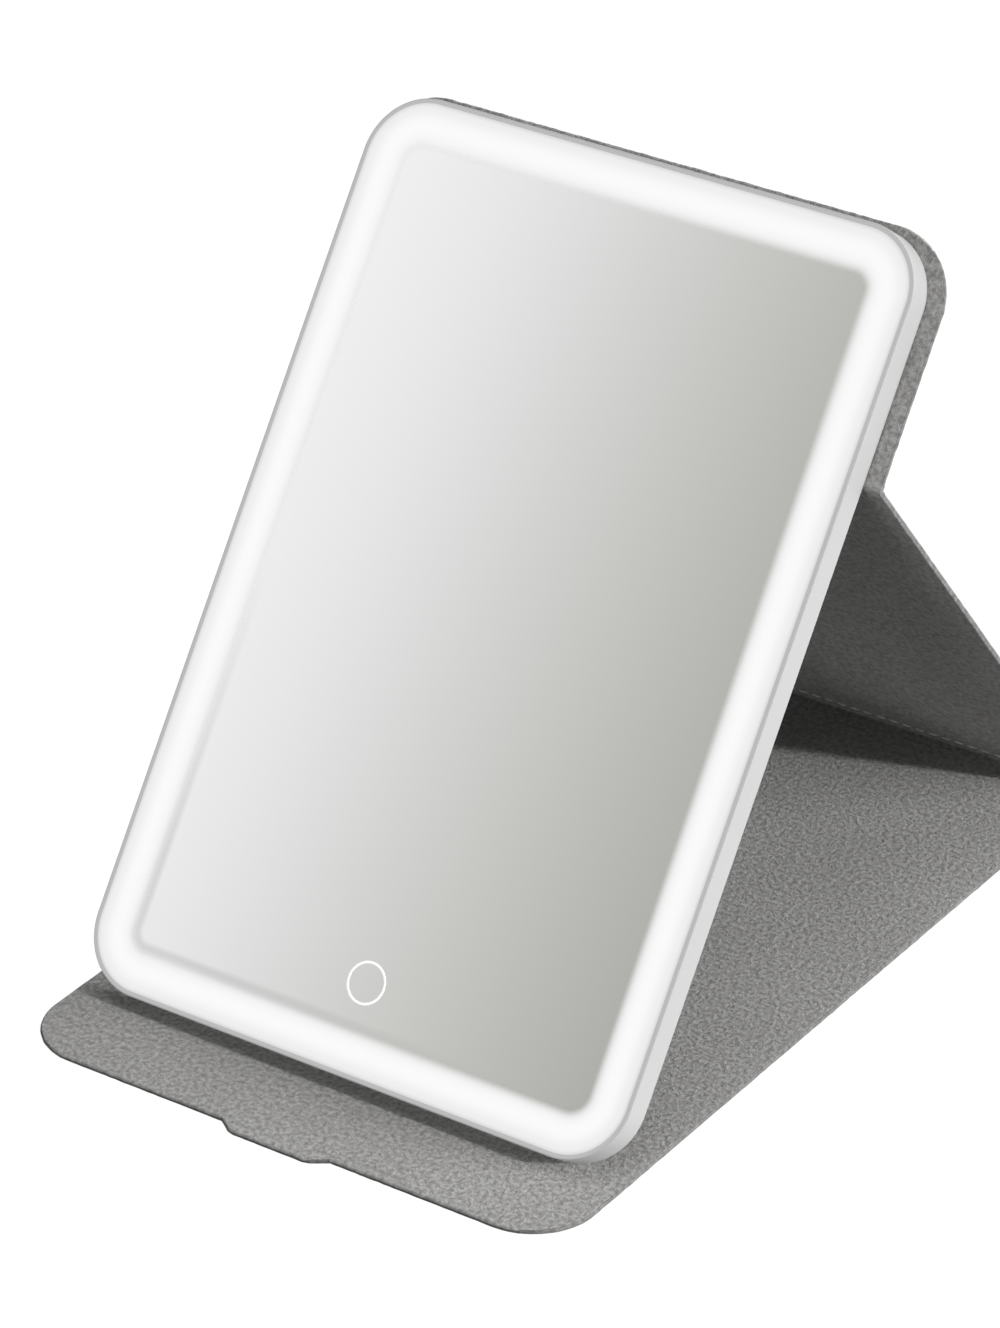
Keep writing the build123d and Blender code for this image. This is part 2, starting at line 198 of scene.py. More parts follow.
def extrude_by(x, y, z):
    """Pulls the selected part of the mesh out."""
    bpy.ops.mesh.extrude_region_move(TRANSFORM_OT_translate={"value": (x, y, z)})


def face_outward():
    """Turns every face of the edited mesh outwards."""
    choose_all()
    bpy.ops.mesh.normals_make_consistent(inside=False)


def end_edit():
    """Leaves edit mode."""
    bpy.ops.object.mode_set(mode="OBJECT")


def set_down(piece, place):
    """Moves a finished flat piece to its place and leaves its object at the origin."""
    pick(piece)
    piece.matrix_world = place @ piece.matrix_world
    settle()


def smooth(piece, angle=32):
    """Smooth shading that keeps the sharp edges, with the flat faces truly flat."""
    pick(piece)
    bpy.ops.object.shade_smooth_by_angle(angle=math.radians(angle))
    weighted = piece.modifiers.new("flat faces", "WEIGHTED_NORMAL")
    weighted.keep_sharp = True
    bpy.ops.object.modifier_apply(modifier=weighted.name)


# %% [markdown]
# ## Finishes
#
# A finish is a material made of nodes. Each one here reads Object coordinates, which are the real
# place of a point on the piece in metres, so a grain of one millimetre stays one millimetre on
# every piece. Noise changes the colour and the roughness a little and lifts the surface through a
# Bump node, because no real surface is one flat colour.

# %% Materials and their nodes
black, white = (0, 0, 0), (1, 1, 1)


def new_finish(name, base, roughness, metallic=0.0, specular=0.5):
    """A material with one Principled shader, as (material, shader, place of each point)."""
    material = bpy.data.materials.new(name)
    material.use_nodes = True
    shader = material.node_tree.nodes["Principled BSDF"]
    shader.inputs["Base Color"].default_value = (*base, 1)
    shader.inputs["Roughness"].default_value = roughness
    shader.inputs["Metallic"].default_value = metallic
    shader.inputs["Specular IOR Level"].default_value = specular
    place = material.node_tree.nodes.new("ShaderNodeTexCoord").outputs["Object"]
    return material, shader, place


def add_node(owner, kind, **settings):
    """A node of a kind in a material or a world, with its settings."""
    node = owner.node_tree.nodes.new("ShaderNode" + kind)
    for name, value in settings.items():
        setattr(node, name, value)
    return node


def link(owner, source, target):
    """Joins what one node gives to what another takes."""
    owner.node_tree.links.new(source, target)


def paint(material, colour):
    """Gives a finish its colour."""
    link(material, colour, material.node_tree.nodes["Principled BSDF"].inputs["Base Color"])


def give_light(material, colour):
    """Makes a finish give off light of a colour."""
    shader = material.node_tree.nodes["Principled BSDF"]
    link(material, colour, shader.inputs["Emission Color"])
    shader.inputs["Emission Strength"].default_value = 1.0


# %% Noise, ramps and mixes
def noise(material, place, per_metre, detail=2.0, roughness=0.5, distortion=0.0):
    """Noise with so many grains to the metre, from 0 to 1."""
    node = add_node(material, "TexNoise")
    link(material, place, node.inputs["Vector"])
    for name, value in (("Scale", per_metre), ("Detail", detail), ("Roughness", roughness),
                        ("Distortion", distortion)):
        node.inputs[name].default_value = value
    return node.outputs["Fac"]


def ramp(material, value, stops):
    """Turns a value into a colour through stops of (position, (r, g, b))."""
    node = add_node(material, "ValToRGB")
    link(material, value, node.inputs["Fac"])
    elements = node.color_ramp.elements
    while len(elements) < len(stops):
        elements.new(0.5)
    for element, (position, colour) in zip(elements, stops):
        element.position = position
        element.color = (*colour, 1)
    return node.outputs["Color"]


def grey_ramp(material, value, stops):
    """Turns a value into greys through stops of (position, share of white)."""
    return ramp(material, value, [(at, (share, share, share)) for at, share in stops])


def colour_mix(material, kind, share, low, high):
    """Mixes two colours, each a link or three numbers."""
    mix = add_node(material, "Mix", data_type="RGBA", blend_type=kind)
    sockets = [socket for socket in mix.inputs if socket.enabled]
    for socket, source in zip(sockets, (share, low, high)):
        if isinstance(source, tuple):
            socket.default_value = (*source, 1)
        elif isinstance(source, (int, float)):
            socket.default_value = source
        else:
            link(material, source, socket)
    return next(socket for socket in mix.outputs if socket.enabled)


def mixed(material, share, low, high):
    """A colour that goes from low to high with a share."""
    return colour_mix(material, "MIX", share, low, high)


def multiplied(material, colour, by):
    """One colour times another."""
    return colour_mix(material, "MULTIPLY", 1.0, colour, by)


# %% Relief, roughness and shades
def bump(material, shader, height, lift, strength, below=None):
    """Lifts the surface by a height pattern; lift is the real height in metres."""
    node = add_node(material, "Bump")
    node.inputs["Strength"].default_value = strength
    node.inputs["Distance"].default_value = lift
    link(material, height, node.inputs["Height"])
    if below is not None:
        link(material, below, node.inputs["Normal"])
    link(material, node.outputs["Normal"], shader.inputs["Normal"])
    return node.outputs["Normal"]


def roughen(material, shader, value, spread):
    """Makes the surface smoother where a value is low and rougher where it is high."""
    roughness = shader.inputs["Roughness"]
    smoother, rougher = roughness.default_value - spread, roughness.default_value + spread
    link(material, grey_ramp(material, value, [(0.3, smoother), (0.7, rougher)]), roughness)


def grey(level):
    """A neutral colour from a screen grey of 0 to 255."""
    share = level / 255
    linear = share / 12.92 if share <= 0.04045 else ((share + 0.055) / 1.055) ** 2.4
    return (linear, linear, linear)


def tinted(colour, factor):
    """A colour made lighter or darker."""
    return tuple(channel * factor for channel in colour)


def shaded(material, value, base, dark, light, low=0.3, high=0.7):
    """The base colour, darker where a value is below low and lighter where it is above high."""
    return ramp(material, value, [(low, tinted(base, dark)), (high, tinted(base, light))])


def wear(piece, material):
    """Gives a piece one finish."""
    piece.data.materials.clear()
    piece.data.materials.append(material)


# %% [markdown]
# ### Cover cloth
#
# The cover is a soft grey felted cloth: tufts of matted wool about a millimetre across, with
# lighter hairs between them. One noise gives the tufts, lighter and rougher where they stand proud.
# A noise field also has hairs in it, as the thin lines where it passes through its middle value, so
# a ramp that is white only there draws them. A finer noise gives the fibres, and a broad one keeps
# a large panel from looking printed. At a panel's rim the cloth is painted darker, as painted shade
# where its faces look down or sideways; a face attribute says where that is.

# %% Cover cloth
cloth_tufts, cloth_hairs, cloth_fibres, cloth_patches = 800, 620, 2900, 28
cloth_grey = (0.308, 0.305, 0.298)
# How dark the painted shade on the cloth's rim is.
rim_darkness = 0.45
tuft_lift, hair_lift, fibre_lift = 0.0004, 0.00002, 0.00007
hair_share, hair_lightness = 0.12, 1.35


def make_cloth(name, base):
    material, shader, place = new_finish(name, base, roughness=0.95, specular=0.12)
    tufts = noise(material, place, cloth_tufts, detail=3.0, roughness=0.62)
    strands = noise(material, place, cloth_hairs, detail=1.0, distortion=0.8)
    hairs = grey_ramp(material, strands, [(0.44, 0), (0.50, 1), (0.56, 0)])
    fibres = noise(material, place, cloth_fibres, detail=1.5)
    patches = noise(material, place, cloth_patches, detail=1.0)
    wool = shaded(material, tufts, base, dark=0.64, light=1.29, low=0.34, high=0.66)
    share = multiplied(material, hairs, (hair_share, hair_share, hair_share))
    colour = mixed(material, share, wool, tinted(base, hair_lightness))
    broad = shaded(material, patches, white, dark=0.96, light=1.03)
    # Painted shade: the rim faces of the cloth are made darker.
    cut = add_node(material, "Attribute", attribute_name="cut_edge")
    rim = grey_ramp(material, cut.outputs["Fac"], [(0.0, 1), (1.0, rim_darkness)])
    paint(material, multiplied(material, multiplied(material, colour, broad), rim))
    roughen(material, shader, tufts, spread=0.04)
    lifted = bump(material, shader, tufts, tuft_lift, strength=0.8)
    haired = bump(material, shader, hairs, hair_lift, strength=0.5, below=lifted)
    bump(material, shader, fibres, fibre_lift, strength=0.6, below=haired)
    shader.inputs["Sheen Weight"].default_value = 0.12
    shader.inputs["Sheen Roughness"].default_value = 0.6
    return material


cover_cloth = make_cloth("cover_cloth", cloth_grey)
print("cloth with tufts of", round(1 / cloth_tufts / millimetre, 2), "mm")

# %% [markdown]
# ### Plastic, lit band and silvered pane
#
# The frame is light-grey, milky plastic with a satin skin. Its walls carry a faint painted glow, so
# they look more brightly lit, and its front rim, right beside the band, a little more. The lit band
# is opal plastic that glows, a little less at its outer rim, and fades softly into the pane at its
# inner edge. The pane is silvered glass: a metallic surface that shows the studio, with a painted
# reflection laid into its colour, pale on the left and darker on the right, as a slow change of
# grey.
# Finishes that follow the mirror's outline read the attribute from_edge, the distance in from it.

# %% Moulded plastic
frame_grey = (0.255, 0.255, 0.255)
# Painted light on the frame: a faint glow on its walls, and more on its front rim.
painted_wall_glow, painted_rim_glow, rim_begins = 0.12, 0.285, 0.0004
skin_grains, cloud_grains = 2600, 35
skin_lift = 0.00002


def make_plastic(name, base, roughness=0.42):
    material, shader, place = new_finish(name, base, roughness)
    skin = noise(material, place, skin_grains, detail=1.0)
    cloudy = noise(material, place, cloud_grains, detail=1.0)
    paint(material, shaded(material, cloudy, base, dark=0.985, light=1.015))
    roughen(material, shader, skin, spread=0.05)
    bump(material, shader, skin, skin_lift, strength=0.25)
    return material


def share_between(material, value, start, stop):
    """A value as a share, 0 at start and 1 at stop."""
    span = add_node(material, "MapRange")
    link(material, value, span.inputs["Value"])
    span.inputs["From Min"].default_value = start
    span.inputs["From Max"].default_value = stop
    return span.outputs["Result"]


def edge_distance(material, start, stop):
    """How far a point is in from the mirror's outer edge, as 0 at start and 1 at stop."""
    distance = add_node(material, "Attribute", attribute_name="from_edge")
    return share_between(material, distance.outputs["Fac"], start, stop)


frame_plastic = make_plastic("frame_plastic", frame_grey)
# The frame's glow is painted light, which makes its walls and rim look more brightly lit.
give_light(frame_plastic, grey_ramp(frame_plastic, edge_distance(frame_plastic, 0.0, rim_begins),
                                    [(0.0, painted_wall_glow), (1.0, painted_rim_glow)]))
print("frame grey", frame_grey[0], "with a glow of", painted_wall_glow, "to", painted_rim_glow)

# %% Painted reflection along the pane
# The pane's grey is a painted reflection: lighter on the left, darker on the right.
pane_middle_level = 210.5
level_per_metre_across = -510
level_per_metre_up = 55
darkest, lightest = 165, 245
pane_reflection_levels = [
    (165, (165, 166, 161)), (185, (185, 186, 181)), (200, (200, 200, 197)), (212, (212, 212, 211)),
    (225, (225, 225, 225)), (232, (231, 231, 231)), (238, (235, 235, 235)), (245, (239, 239, 239))]


def painted_pane_reflection(material, place):
    """The painted reflection on the pane, a slow change of grey, read from the place of each point.
    """
    up = TABLET.to_3x3() @ Vector((0, 1, 0))
    slope = Vector((level_per_metre_across, 0, 0)) + level_per_metre_up * up
    centre = TABLET @ Vector((0, mirror_height / 2, 0))
    change = add_node(material, "VectorMath", operation="DOT_PRODUCT")
    link(material, place, change.inputs[0])
    change.inputs[1].default_value = slope
    offset = centre.dot(slope) - pane_middle_level
    share = share_between(material, change.outputs["Value"], darkest + offset, lightest + offset)
    stops = [((level - darkest) / (lightest - darkest), tuple(grey(part)[0] for part in colour))
             for level, colour in pane_reflection_levels]
    return ramp(material, share, stops)


# %% [markdown]
# Band and pane meet without a step, so one recipe serves both: it glows out at the rim, is silvered
# further in, and fades from the one to the other. A soft grey line of painted shade lies where they
# meet, strongest near the lower left corner.

# %% Lit band and silvered pane
band_outer, band_inner = 0.00115, 0.01135
band_body = (0.10, 0.10, 0.10)
band_reflects = 0.11
band_levels = [(0.0, 219), (0.06, 235), (0.1, 240), (0.2, 243), (0.3, 248), (0.38, 251),
               (0.48, 252.5), (0.6, 252), (0.66, 250.5)]
fade_levels = [(0.66, 0.0), (0.74, 0.05), (0.80, 0.14), (0.85, 0.28), (0.90, 0.52), (0.96, 0.86),
               (1.0, 1.0)]
# The grey line where band and pane meet is painted shade, strongest near the lower left corner.
line_start, line_stop = 0.0095, 0.0140
shade_line_levels = [(0.1, 1.0), (0.4, 0.86), (0.56, 0.80), (0.7, 0.86), (0.92, 1.0)]
line_near, line_far = 0.035, 0.105


def painted_corner_shade(material, place):
    """Painted shade: a soft grey line where band and pane meet, strongest near the lower left
    corner.
    """
    line = grey_ramp(material, edge_distance(material, line_start, line_stop), shade_line_levels)
    corner = add_node(material, "VectorMath", operation="DISTANCE")
    link(material, place, corner.inputs[0])
    corner.inputs[1].default_value = TABLET @ Vector((-mirror_width / 2, 0, mirror_thickness))
    share = share_between(material, corner.outputs["Value"], line_near, line_far)
    return mixed(material, share, line, white)


def make_lit_glass(name, roughness, specular):
    """Glows out at the rim and is silvered further in, with a soft fade between the two."""
    material, shader, place = new_finish(name, band_body, roughness, specular=specular)
    across = edge_distance(material, band_outer, band_inner)
    glow = grey_ramp(material, across,
                     [(at, grey(level)[0] - band_reflects) for at, level in band_levels])
    fade = grey_ramp(material, across, fade_levels)
    line = painted_corner_shade(material, place)
    silvered = mixed(material, fade, band_body, painted_pane_reflection(material, place))
    paint(material, multiplied(material, silvered, line))
    give_light(material, multiplied(material, mixed(material, fade, glow, black), line))
    link(material, fade, shader.inputs["Metallic"])
    return material, shader, place


band_finish, band_shader, band_place = make_lit_glass("lit_band", roughness=0.35, specular=0.25)
dust = noise(band_finish, band_place, per_metre=1800, detail=1.0)
bump(band_finish, band_shader, dust, lift=0.00001, strength=0.1)
pane_finish, pane_shader, pane_place = make_lit_glass(
    "silvered_pane", roughness=0.06, specular=0.5)
ripple = noise(pane_finish, pane_place, per_metre=9, detail=0.0)
bump(pane_finish, pane_shader, ripple, lift=0.00002, strength=0.02)
print("band", round((band_inner - band_outer) / millimetre, 2), "mm wide")

# %% [markdown]
# ### Finishes of the pieces inside
#
# Most of these pieces are hidden, but a cutaway or an opened model shows them, so each still gets
# its real finish: pressed board, nickel plate, brushed steel, white and green circuit boards, foam
# tape, a foil pouch. Brushed metal is noise drawn out long in one direction, foam is made of small
# cells, and foil is plain metal with soft creases.

# %% Metals, board, foam and foil
def stretched(material, place, scale):
    """The place of each point drawn out or pressed in along each axis."""
    mapping = add_node(material, "Mapping")
    mapping.inputs["Scale"].default_value = scale
    link(material, place, mapping.inputs["Vector"])
    return mapping.outputs["Vector"]


def make_metal(name, base, roughness, scale=(40, 1, 1), grains=900):
    material, shader, place = new_finish(name, base, roughness, metallic=1.0)
    grain = noise(material, stretched(material, place, scale), grains)
    paint(material, shaded(material, grain, base, dark=0.9, light=1.06))
    roughen(material, shader, grain, spread=0.06)
    bump(material, shader, grain, lift=0.000005, strength=0.3)
    return material


def make_pressed_board(name, base):
    material, shader, place = new_finish(name, base, roughness=0.85, specular=0.2)
    fibres = noise(material, stretched(material, place, (1, 3, 1)), per_metre=700, detail=3.0)
    paint(material, shaded(material, fibres, base, dark=0.78, light=1.15, low=0.35, high=0.65))
    roughen(material, shader, fibres, spread=0.08)
    bump(material, shader, fibres, lift=0.00005, strength=0.4)
    return material


def make_foam(name, base):
    material, shader, place = new_finish(name, base, roughness=0.9, specular=0.2)
    cells = add_node(material, "TexVoronoi")
    link(material, place, cells.inputs["Vector"])
    cells.inputs["Scale"].default_value = 3500
    distance = cells.outputs["Distance"]
    paint(material, shaded(material, distance, base, dark=0.6, light=1.4, low=0.1))
    bump(material, shader, distance, lift=0.00008, strength=0.6)
    return material


def make_foil(name, base):
    material, shader, place = new_finish(name, base, roughness=0.34, metallic=0.9)
    creases = noise(material, place, per_metre=120, detail=4.0, roughness=0.7, distortion=0.8)
    paint(material, shaded(material, creases, base, dark=0.88, light=1.08, low=0.35, high=0.65))
    roughen(material, shader, creases, spread=0.06)
    bump(material, shader, creases, lift=0.0003, strength=0.35)
    return material


def make_circuit_board(name, base, copper):
    material, shader, place = new_finish(name, base, roughness=0.4)
    tracks = add_node(material, "TexBrick")
    link(material, place, tracks.inputs["Vector"])
    for socket, value in (("Scale", 260.0), ("Mortar Size", 0.035), ("Brick Width", 0.9),
                          ("Row Height", 0.3)):
        tracks.inputs[socket].default_value = value
    tracks.inputs["Color1"].default_value = (*base, 1)
    tracks.inputs["Color2"].default_value = (*tinted(base, 0.92), 1)
    tracks.inputs["Mortar"].default_value = (*copper, 1)
    paint(material, tracks.outputs["Color"])
    bump(material, shader, tracks.outputs["Fac"], lift=0.00002, strength=0.3)
    return material


def make_clear(name, tint):
    material, shader, place = new_finish(name, tint, roughness=0.08)
    shader.inputs["Transmission Weight"].default_value = 0.85
    cloudy = noise(material, place, per_metre=1500, detail=1.0)
    paint(material, shaded(material, cloudy, tint, dark=0.94, light=1.0))
    return material


def make_phosphor(name, base):
    material, _, place = new_finish(name, base, roughness=0.5)
    grains = noise(material, place, per_metre=4000, detail=1.0)
    paint(material, shaded(material, grains, base, dark=0.85, light=1.0))
    give_light(material, ramp(material, grains, [(0.3, (0.9, 0.82, 0.6)), (0.7, (1.0, 0.95, 0.8))]))
    return material


# %% Each inner piece gets its finish
unstretched = (1, 1, 1)
inner_finishes = (
    (make_pressed_board("panel_board", (0.42, 0.40, 0.37)),
     ("base_board", "spine_board", "strut_board", "upper_board")),
    (make_metal("magnet_nickel", (0.72, 0.71, 0.68), roughness=0.22, scale=unstretched,
                grains=2500), ("base_magnets", "closure_magnets", "mirror_magnets")),
    (make_metal("keeper_steel", (0.56, 0.57, 0.58), roughness=0.38),
     ("strut_keepers", "keeper_plates")),
    (make_plastic("rear_plastic", (0.32, 0.32, 0.32)), ("rear_cover",)),
    (make_plastic("reflector_plastic", (0.86, 0.86, 0.86), roughness=0.5), ("reflector_frame",)),
    (make_circuit_board("led_board_white", (0.82, 0.82, 0.80), (0.70, 0.69, 0.66)),
     ("led_board",)),
    (make_phosphor("led_phosphor", (0.9, 0.8, 0.4)), ("led_chips",)),
    (make_foam("foam_tape", (0.05, 0.05, 0.05)), ("glass_tape", "battery_tape", "back_tape")),
    (make_circuit_board("circuit_board", (0.02, 0.13, 0.05), (0.05, 0.22, 0.09)),
     ("control_board", "port_board")),
    (make_plastic("board_part_black", (0.03, 0.03, 0.03), roughness=0.35), ("board_parts",)),
    (make_metal("spring_steel", (0.62, 0.62, 0.63), roughness=0.28, scale=unstretched,
                grains=3000), ("touch_spring",)),
    (make_metal("socket_steel", (0.60, 0.60, 0.61), roughness=0.3, scale=(1, 20, 20)),
     ("usb_c_socket",)),
    (make_clear("light_pipe_clear", (0.92, 0.94, 0.94)), ("charge_light_pipe",)),
    (make_foil("battery_foil", (0.66, 0.67, 0.68)), ("battery_cell",)),
    (make_plastic("lead_sheath", (0.42, 0.03, 0.03), roughness=0.45),
     ("battery_leads", "led_leads", "port_leads")),
    (make_metal("screw_steel", (0.52, 0.53, 0.55), roughness=0.32, scale=unstretched,
                grains=4000), ("housing_screws",)),
)
for finish, names in inner_finishes:
    for name in names:
        wear(frame["nodes"][name], finish)
print("inner pieces finished:", sum(len(names) for finish, names in inner_finishes))

# %% [markdown]
# ## The mirror's outline
#
# Frame, band and pane all follow one outline: a rectangle with rounded corners. It starts as a
# plane at its real size, whose four corners are rounded with a bevel. Each smaller outline is the
# same one drawn in.

# %% Outline tools
corner_radius = 0.0155
corner_steps = 24
tiny = 1e-6


def distance_in(x, y):
    """How far a point of the flat mirror lies in from its outline."""
    beyond_x = abs(x) - (mirror_width / 2 - corner_radius)
    beyond_y = abs(y - mirror_height / 2) - (mirror_height / 2 - corner_radius)
    outside = math.hypot(max(beyond_x, 0), max(beyond_y, 0))
    return corner_radius - outside - min(max(beyond_x, beyond_y), 0)


def flat_outline(name, inset, height):
    """A flat face with the mirror's outline, drawn in by inset, at a height, open in edit mode."""
    piece = start_plane(name, mirror_width - 2 * inset, mirror_height - 2 * inset,
                        (0, mirror_height / 2, height))
    choose_all()
    bpy.ops.mesh.bevel(offset=corner_radius - inset, segments=corner_steps, affect="VERTICES")
    return piece


fade_shift_bottom, fade_shift_top = 0.0004, -0.0007


def mark_distance(piece, shifted=False):
    """Writes how far each point lies in from the outline, for the finishes that follow it.

    Shifted, the inner part of the band reads a little wider at the top and narrower at the bottom.
    """
    attribute = piece.data.attributes.new("from_edge", "FLOAT", "POINT")
    for vert, item in zip(piece.data.vertices, attribute.data):
        item.value = distance_in(vert.co.x, vert.co.y)
        if shifted:
            up = vert.co.y / mirror_height
            shift = fade_shift_bottom + (fade_shift_top - fade_shift_bottom) * up
            item.value += shift * (item.value / band_inner) ** 2


print("middle of the mirror is", round(distance_in(0, mirror_height / 2) / millimetre, 1), "mm in")

# %% [markdown]
# ## The frame
#
# One moulded ring runs round the mirror. Its narrow front rim is the grey line round the white band
# in the photograph. The outline is drawn in by the wall's thickness, the middle taken out, the ring
# pulled up to its height, and the front and back edges are bevelled. The left wall has the mouth of
# the charging port and a pinhole for its light.

# %% Frame ring
frame_wall = 0.00115
rim_round, back_round = 0.00035, 0.0005
rim_steps, back_steps = 10, 4


def outer_edge_at(height):
    """A test for the outline's outer edge at one height."""
    return lambda edge: all(
        abs(vert.co.z - height) < tiny and distance_in(vert.co.x, vert.co.y) < tiny
        for vert in edge.verts)


mirror_frame = flat_outline("mirror_frame", 0, 0)
bpy.ops.mesh.inset(thickness=frame_wall)
bpy.ops.mesh.delete(type="FACE")
choose_all()
extrude_by(0, 0, mirror_thickness)
face_outward()
print("front edges", choose(mirror_frame, "edges", outer_edge_at(mirror_thickness)))
bpy.ops.mesh.bevel(offset=rim_round, segments=rim_steps, affect="EDGES")
print("back edges", choose(mirror_frame, "edges", outer_edge_at(0)))
bpy.ops.mesh.bevel(offset=back_round, segments=back_steps, affect="EDGES")
end_edit()

# %% [markdown]
# The port's mouth is a slot with round ends. A cutter of that shape is a cylinder whose two halves
# are drawn apart, and a Boolean modifier takes it out of the wall.

# %% Mouth of the charging port and the hole of its light
port_up, port_depth_place = 0.033, 0.00343
port_long, port_short = 0.00914, 0.00346
light_up, light_radius = 0.0405, 0.0008
cutter_steps, cutter_length = 48, 0.006


def round_cutter(name, radius, up, spread):
    """A cylinder through the left wall, drawn apart along the wall by spread."""
    deselect()
    bpy.ops.mesh.primitive_cylinder_add(
        vertices=cutter_steps, radius=radius, depth=cutter_length, rotation=(0, math.pi / 2, 0),
        location=(-mirror_width / 2, up, port_depth_place))
    cutter = named(name)
    settle()
    bpy.ops.object.mode_set(mode="EDIT")
    for side in (-1, 1):
        choose(cutter, "verts", lambda vert: (vert.co.y - up) * side > tiny)
        bpy.ops.transform.translate(value=(0, side * spread, 0))
    end_edit()
    return cutter


def cut_away(piece, cutter):
    """Takes the cutter out of the piece and throws the cutter away."""
    boolean = piece.modifiers.new("cut", "BOOLEAN")
    boolean.operation, boolean.object, boolean.solver = "DIFFERENCE", cutter, "EXACT"
    pick(piece)
    bpy.ops.object.modifier_apply(modifier=boolean.name)
    bpy.data.objects.remove(cutter)


port_spread = (port_long - port_short) / 2
cut_away(mirror_frame, round_cutter("port cutter", port_short / 2, port_up, port_spread))
cut_away(mirror_frame, round_cutter("light cutter", light_radius, light_up, 0))
mark_distance(mirror_frame)
set_down(mirror_frame, TABLET)
smooth(mirror_frame)
wear(mirror_frame, frame_plastic)
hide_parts("bezel_frame")
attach(mirror_frame, "mirror")
print("frame faces", len(mirror_frame.data.polygons))

# %% [markdown]
# ## The lit band and the pane
#
# The opal band lies flush between the frame and the pane. It is drawn in ring by ring, so that it
# has points all across for the glow to follow. The pane fills the rest. Both are thin closed
# plates: a face drawn in step by step, then given its thickness.

# %% Band and pane
band_step, band_gap = 0.00095, 0.00003
band_depth, pane_depth = 0.0017, 0.0018
pane_insets = (0.0005, 0.001, 0.0015)


def ring_plate(name, outer, inner, step, depth):
    """A flat ring between two insets with loops every step, as thick as depth."""
    piece = flat_outline(name, outer, mirror_thickness - depth)
    loops = max(1, round((inner - outer) / step))
    for _ in range(loops):
        bpy.ops.mesh.inset(thickness=(inner - outer) / loops)
    bpy.ops.mesh.delete(type="FACE")
    choose_all()
    extrude_by(0, 0, depth)
    face_outward()
    end_edit()
    return piece


band = ring_plate("lit_band", band_outer + band_gap, band_inner, band_step, band_depth)
mark_distance(band, shifted=True)
set_down(band, TABLET)
smooth(band)
wear(band, band_finish)
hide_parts("diffuser_ring")
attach(band, "mirror")

pane = flat_outline("mirror_pane", band_inner, mirror_thickness - pane_depth)
extrude_by(0, 0, pane_depth)
pane_front = mirror_thickness - tiny
choose(pane, "faces", lambda face: middle_of(face).z > pane_front)
for inset in pane_insets:
    bpy.ops.mesh.inset(thickness=inset)
face_outward()
end_edit()
mark_distance(pane, shifted=True)
set_down(pane, TABLET)
smooth(pane)
wear(pane, pane_finish)
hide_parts("mirror_glass")
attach(pane, "mirror")
print("band faces", len(band.data.polygons), "pane faces", len(pane.data.polygons))

# %% [markdown]
# ## The touch ring
#
# The switch is a thin ring printed on the glass, lit from behind. A torus pressed flat gives the
# line its slightly domed, soft-edged look.

# %% Touch ring
ring_diameter, ring_line, ring_up = 0.0100, 0.0006, 0.0215
ring_rise = 0.00006
ring_steps, ring_line_steps = 96, 12
round_angle = 80

ring_finish, _, ring_place = new_finish("touch_lit", (0.7, 0.7, 0.7), roughness=0.35)
print_grain = noise(ring_finish, ring_place, per_metre=2500, detail=1.0)
give_light(ring_finish, grey_ramp(ring_finish, print_grain, [(0.3, 0.47), (0.7, 0.53)]))

deselect()
bpy.ops.mesh.primitive_torus_add(
    location=(0, ring_up, mirror_thickness), major_segments=ring_steps,
    minor_segments=ring_line_steps, major_radius=(ring_diameter - ring_line) / 2,
    minor_radius=ring_line / 2)
touch_mark = named("touch_mark")
touch_mark.scale = (1, 1, ring_rise / (ring_line / 2))
set_down(touch_mark, TABLET)
smooth(touch_mark, round_angle)
wear(touch_mark, ring_finish)
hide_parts("touch_ring")
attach(touch_mark, "mirror")
print("touch ring", round(ring_diameter / millimetre, 1), "mm across")

# %% [markdown]
# ## The cover's panels
#
# Each panel is a board wrapped in cloth on both sides, so its edges are soft and slightly uneven.
# A plane is cut to the panel's outline, its long edges are divided so that they can wander by a
# few hundredths of a millimetre, and it is pulled up to its thickness. The free edges are then
# rounded; the edge at a fold stays square, because the fold's own cloth goes on from there. The
# rim gets painted shade, except at the upper panel's end, where the cloth is turned over.

# %% Panel maker
cloth_wrap = 0.00026
rim_wander = 0.00011
rim_spacing = 0.0013
soft_wrap = 0.0005
wrap_steps, panel_corner_steps, tab_corner_steps = 5, 20, 6
turned_reach = 0.003
fold_room = 0.00005
at_fold = fold_room + tiny
same_length = 5e-6
looks_up, looks_sideways, stands_upright = 0.97, 0.3, 0.5


def divide_long_edges(piece):
    """Divides each long edge of a flat outline into short ones."""
    lengths = sorted({round((edge.verts[0].co - edge.verts[1].co).length, 5)
                      for edge in bmesh.from_edit_mesh(piece.data).edges}, reverse=True)
    for length in lengths:
        cuts = int(length / rim_spacing)
        if cuts > 1:
            choose(piece, "edges", lambda edge: abs(
                (edge.verts[0].co - edge.verts[1].co).length - length) < same_length)
            bpy.ops.mesh.subdivide(number_cuts=cuts)


